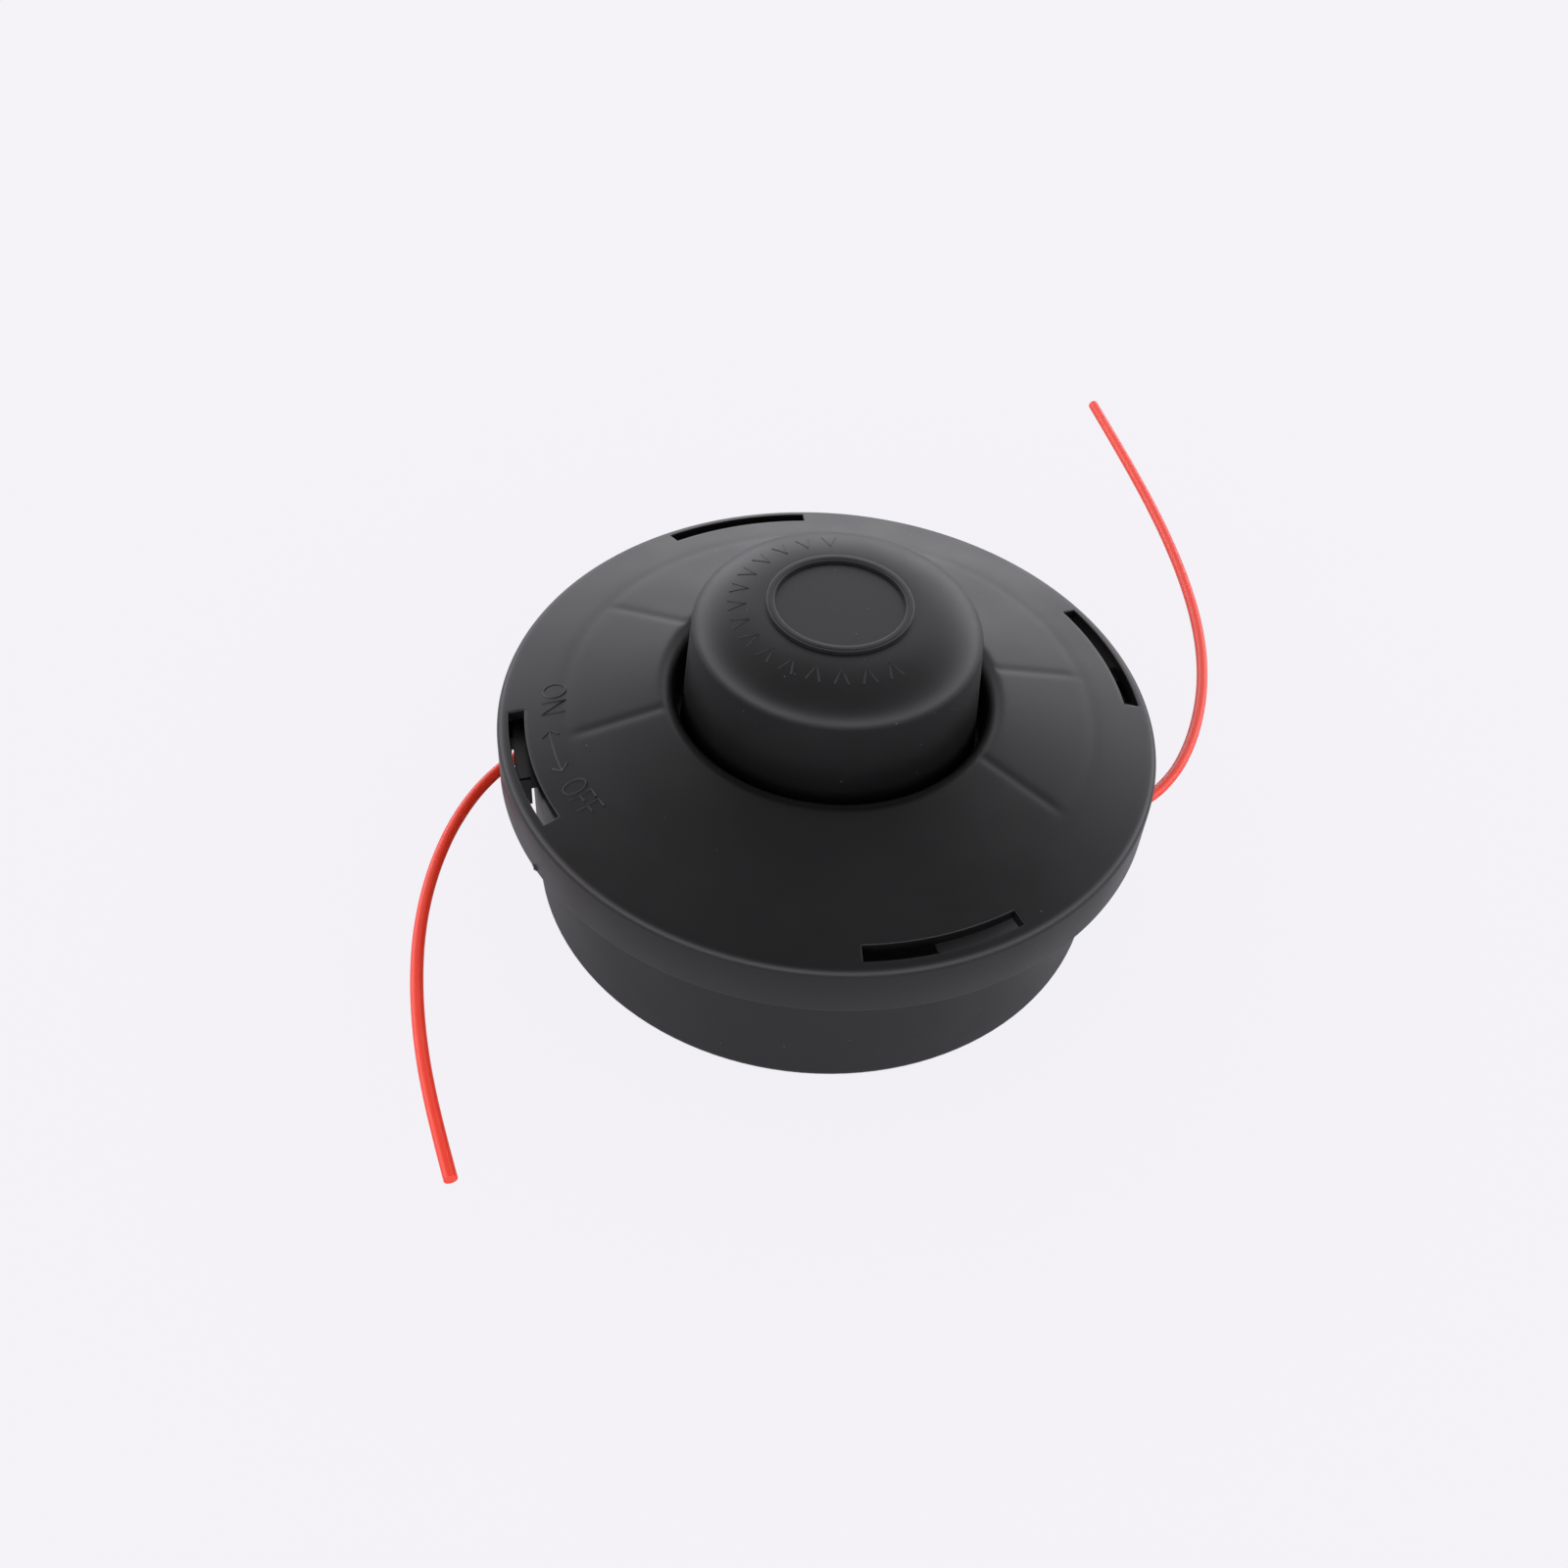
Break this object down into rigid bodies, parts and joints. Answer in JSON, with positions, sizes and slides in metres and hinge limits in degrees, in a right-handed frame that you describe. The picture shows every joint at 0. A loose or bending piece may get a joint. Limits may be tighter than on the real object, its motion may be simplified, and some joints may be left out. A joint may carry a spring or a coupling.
{
  "type": "trimmer head",
  "caption": "Bump-feed string trimmer head: round housing with a left-hand arbor nut, bayonet cover, domed bump knob, spring-loaded line spool and line tails leaving through metal eyelets.",
  "frame": {"origin": "centre of the flat drive side, on the spin axis, at the foot of the housing", "axes": "+Z along the spin axis from the drive side to the bump knob; the line leaves to +X and -X, through eyelets turned 4 degrees clockwise from that axis"},
  "size_m": [0.157, 0.2494, 0.069],
  "materials": {
    "black_housing_plastic": "moulded glass-filled nylon, satin black",
    "black_cover_plastic": "moulded nylon, satin black",
    "black_knob_plastic": "moulded nylon, satin black",
    "grey_spool_plastic": "moulded acetal, dark grey",
    "red_line_nylon": "extruded nylon monofilament, translucent orange red",
    "nut_steel": "turned, bright zinc plated",
    "eyelet_steel": "turned and hardened, polished mouth",
    "spring_steel": "drawn wire, bright zinc plated"
  },
  "bodies": {
    "housing_body": {"housing": "black_housing_plastic", "arbor_nut": "nut_steel", "eyelet_right": "eyelet_steel", "eyelet_left": "eyelet_steel", "spring": "spring_steel", "line_tail_right": "red_line_nylon", "line_tail_left": "red_line_nylon"},
    "washer_body": {"spring_washer": "spring_steel"},
    "spool_body": {"spool": "grey_spool_plastic", "wound_line_right": "red_line_nylon", "wound_line_left": "red_line_nylon", "knob": "black_knob_plastic"},
    "cover_body": {"cover": "black_cover_plastic"}
  },
  "joints": [
    {"name": "bump_press", "type": "slide", "parent": "housing_body", "child": "washer_body", "axis": [0, 0, -1], "range_m": [0, 0.0065], "stiffness_N_per_m": 1500, "springref_m": -0.01, "deforming": ["spring"]},
    {"name": "spool_turn", "type": "hinge", "parent": "washer_body", "child": "spool_body", "pos_m": [0, 0, 0.0343], "axis": [0, 0, 1], "range_deg": [0, 13]},
    {"name": "cover_turn", "type": "hinge", "parent": "housing_body", "child": "cover_body", "pos_m": [0, 0, 0.0304], "axis": [0, 0, 1], "range_deg": [0, 28]}
  ]
}
